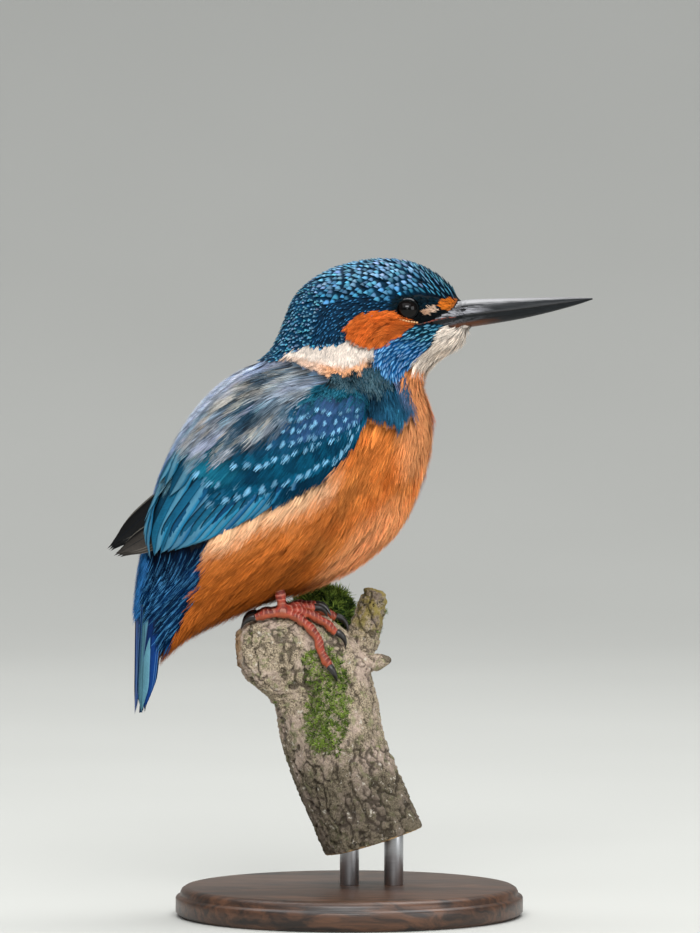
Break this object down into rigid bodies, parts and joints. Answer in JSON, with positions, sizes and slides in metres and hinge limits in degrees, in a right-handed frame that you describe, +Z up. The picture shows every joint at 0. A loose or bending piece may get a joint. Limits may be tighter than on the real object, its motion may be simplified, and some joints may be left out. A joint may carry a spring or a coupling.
{
  "type": "kingfisher",
  "caption": "Still, life-size common kingfisher with folded wings and a long dark bill, gripping a short cut limb held over a round base by short rods.",
  "frame": {"origin": "middle of the whole at the bottom of the stand base, on the surface it stands on", "axes": "+Z up, +X the way the bill points, -Y the bird's right side"},
  "size_m": [0.131, 0.094, 0.1782],
  "materials": {
    "head_feathers": "dark teal feathers barred with pale blue",
    "body_feathers": "soft rufous-orange feathers, blue on the back",
    "wing_feathers": "teal-blue feathers spotted with pale blue",
    "flight_feathers": "stiff dark vanes, blue on the outer webs",
    "tail_feathers": "deep blue vanes",
    "bill_horn": "satin black horn",
    "eye": "dark, wet and clear",
    "foot_skin": "coral red, scaled",
    "claw_horn": "black horn",
    "bark": "rough bark with moss",
    "stand_wood": "dark stained, satin",
    "stand_steel": "brushed"
  },
  "bodies": {
    "root": {"head": "head_feathers", "neck": "head_feathers", "trunk": "body_feathers", "tail": "tail_feathers", "wing_right": "wing_feathers", "wing_left": "wing_feathers", "primaries_right": "flight_feathers", "primaries_left": "flight_feathers", "bill_upper": "bill_horn", "bill_lower": "bill_horn", "eye_right": "eye", "eye_left": "eye", "leg_right": "foot_skin", "leg_left": "foot_skin", "claw_inner_right": "claw_horn", "claw_middle_right": "claw_horn", "claw_outer_right": "claw_horn", "claw_hind_right": "claw_horn", "claw_inner_left": "claw_horn", "claw_middle_left": "claw_horn", "claw_outer_left": "claw_horn", "claw_hind_left": "claw_horn", "perch_limb": "bark", "stand_base": "stand_wood", "stand_rod_1": "stand_steel", "stand_rod_2": "stand_steel"}
  },
  "joints": []
}
